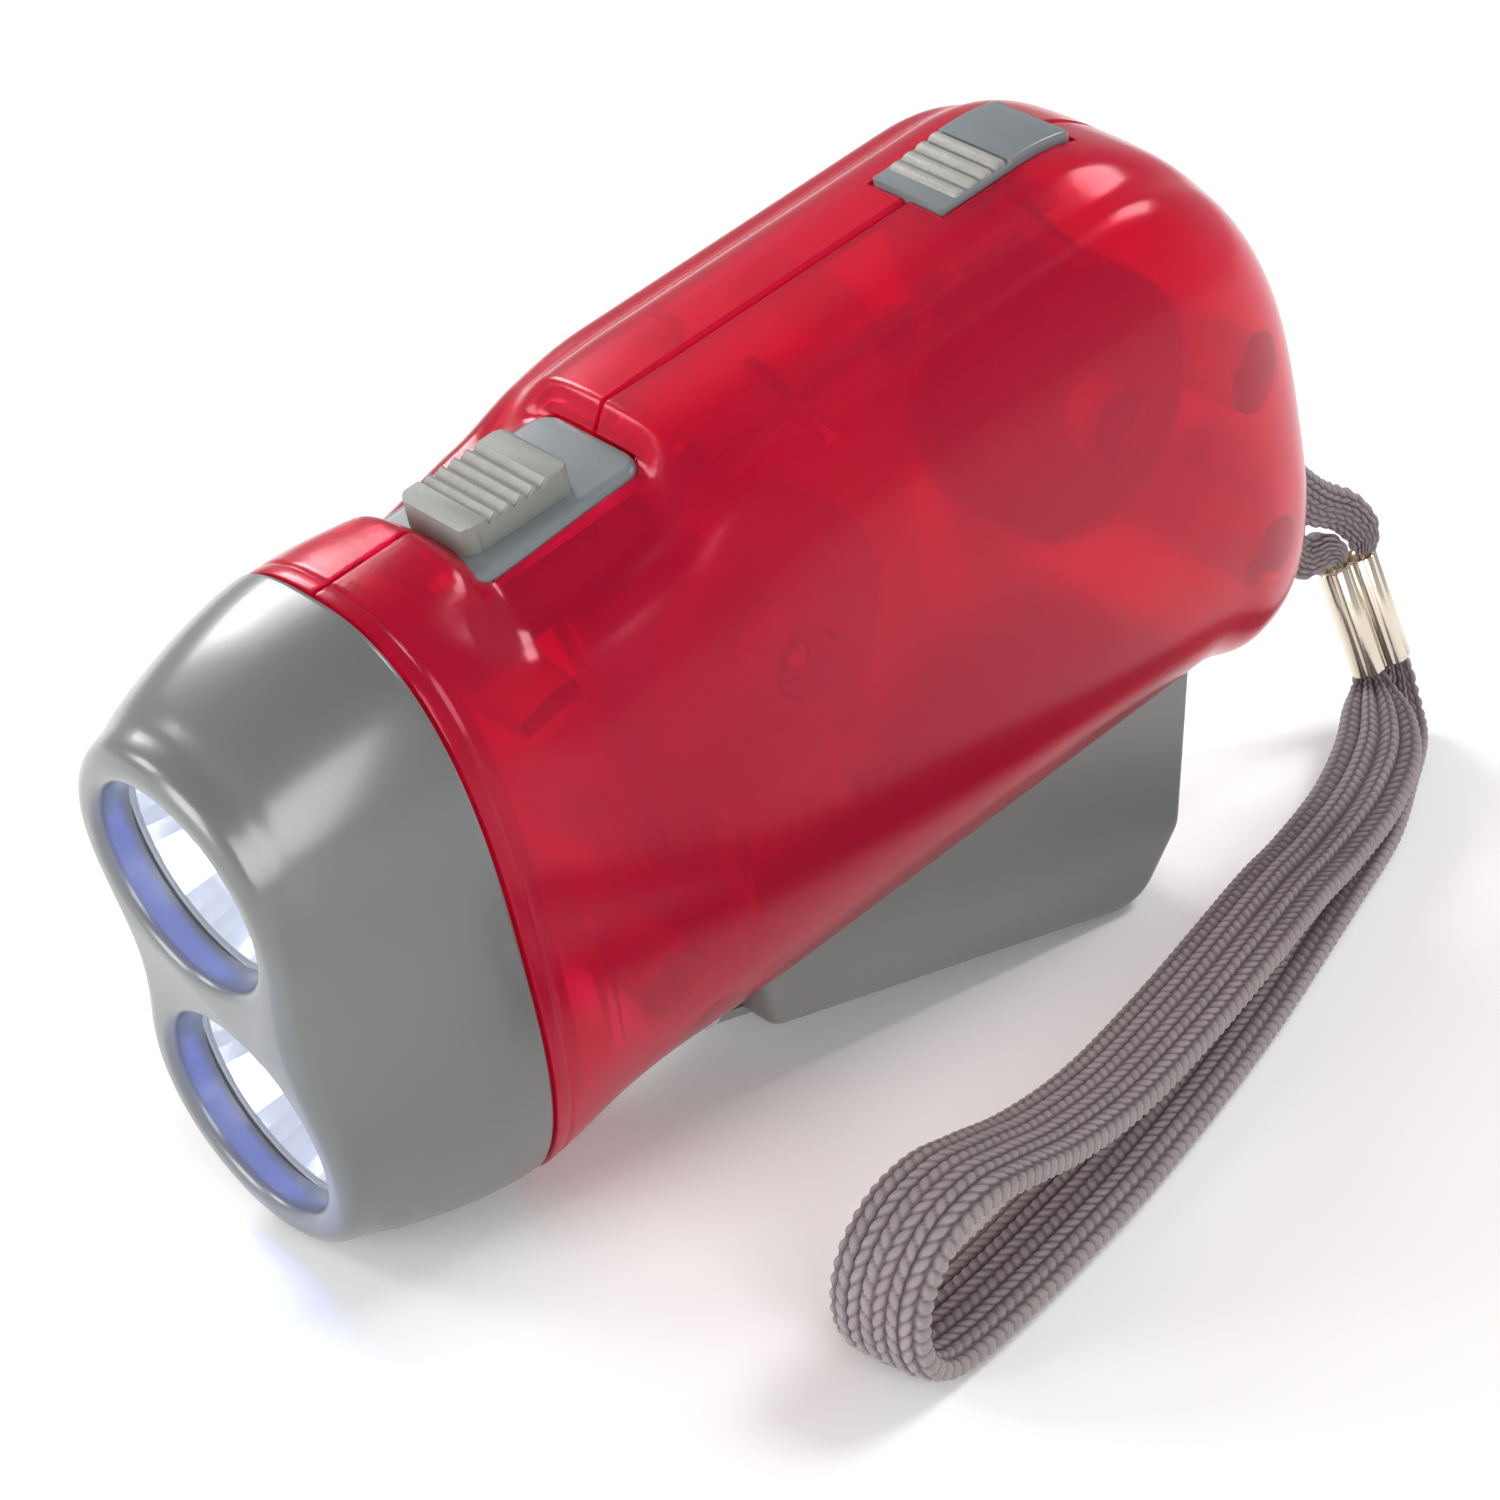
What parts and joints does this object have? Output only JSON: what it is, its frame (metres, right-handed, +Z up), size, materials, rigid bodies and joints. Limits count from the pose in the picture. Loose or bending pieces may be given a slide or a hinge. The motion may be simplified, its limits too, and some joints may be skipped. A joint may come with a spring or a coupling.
{
  "type": "hand-squeeze flashlight",
  "caption": "Hand-squeeze dynamo flashlight: translucent shell, twin-lens head, sliding switch, lever lock, squeeze lever, geared flywheel generator and braided wrist strap.",
  "frame": {"origin": "on the table, under the middle of the torch without its strap", "axes": "+X towards the beam, tipped down with the torch as it stands on its head and the heel of its open lever; +Y to the torch's left; +Z up"},
  "size_m": [0.1316, 0.0668, 0.0702],
  "materials": {
    "red_shell": "glossy translucent",
    "grey_plastic": "satin",
    "switch_plastic": "satin",
    "white_plastic": "satin",
    "black_plastic": "matt",
    "circuit_board": "matt",
    "clear_lens": "clear",
    "mirror_coat": "polished",
    "lamp_resin": "clear",
    "steel": "bright",
    "flywheel_steel": "turned",
    "core_steel": "stacked sheet",
    "magnet": "dark sintered",
    "copper": "enamelled wire",
    "brass": "machined",
    "wire_sleeve": "soft",
    "strap_braid": "braided",
    "nickel": "polished"
  },
  "bodies": {
    "housing": {"shell_left": "red_shell", "shell_right": "red_shell", "head_bezel": "grey_plastic", "lens_upper": "clear_lens", "reflector_upper": "mirror_coat", "led_upper": "lamp_resin", "lens_lower": "clear_lens", "reflector_lower": "mirror_coat", "led_lower": "lamp_resin", "led_board": "circuit_board", "switch_case": "steel", "main_board": "circuit_board", "lever_pin": "steel", "lever_spring": "steel", "first_axle": "steel", "second_axle": "steel", "gear_plate": "white_plastic", "generator_core": "core_steel", "coil_bobbin": "white_plastic", "coil_winding": "copper", "battery_cell_1": "steel", "battery_cell_2": "steel", "battery_holder": "black_plastic", "battery_tab_front": "steel", "battery_tab_rear": "steel", "housing_screw_1": "steel", "housing_screw_2": "steel", "housing_screw_3": "steel", "plate_screw_1": "steel", "plate_screw_2": "steel", "plate_screw_3": "steel", "core_screw_1": "steel", "core_screw_2": "steel", "cell_wire": "wire_sleeve", "generator_wire": "wire_sleeve", "lamp_wire": "wire_sleeve", "strap_eye": "strap_braid", "strap_loop": "strap_braid", "strap_ferrule": "nickel"},
    "switch": {"switch_slider": "switch_plastic", "switch_nub": "black_plastic"},
    "lock": {"lock_slider": "switch_plastic", "lock_hook": "white_plastic", "lock_screw": "steel"},
    "lever": {"squeeze_lever": "grey_plastic"},
    "first_gear": {"first_gear": "white_plastic"},
    "second_gear": {"second_gear": "white_plastic"},
    "rotor": {"flywheel": "flywheel_steel", "flywheel_axle": "steel", "flywheel_pinion": "brass", "magnet_rotor": "magnet"}
  },
  "joints": [
    {"name": "flywheel_spin", "type": "hinge", "parent": "housing", "child": "rotor", "pos_m": [0.00653, 0, 0.04213], "axis": [0, -1, 0], "range_deg": [0, 1440]},
    {"name": "lever_hinge", "type": "hinge", "parent": "housing", "child": "lever", "pos_m": [0.01234, 0, 0.01066], "axis": [0, 1, 0], "range_deg": [0, 20], "stiffness_Nm_per_rad": 0.3, "springref_deg": -57.3, "deforming": ["lever_spring"]},
    {"name": "first_gear_spin", "type": "hinge", "parent": "housing", "child": "first_gear", "pos_m": [-0.0127, 0, 0.02976], "axis": [0, -1, 0], "range_deg": [0, 160]},
    {"name": "second_gear_spin", "type": "hinge", "parent": "housing", "child": "second_gear", "pos_m": [-0.00782, 0, 0.04331], "axis": [0, 1, 0], "range_deg": [0, 480]},
    {"name": "switch_slide", "type": "slide", "parent": "housing", "child": "switch", "axis": [-0.9769, 0, 0.2138], "range_m": [0, 0.0035]},
    {"name": "lock_slide", "type": "slide", "parent": "housing", "child": "lock", "axis": [-0.9769, 0, 0.2138], "range_m": [0, 0.0032]}
  ],
  "couplings": [
    {"joint": "lever_hinge", "follows": "flywheel_spin", "ratio": 0.013889},
    {"joint": "first_gear_spin", "follows": "flywheel_spin", "ratio": 0.11111},
    {"joint": "second_gear_spin", "follows": "flywheel_spin", "ratio": 0.33333}
  ]
}
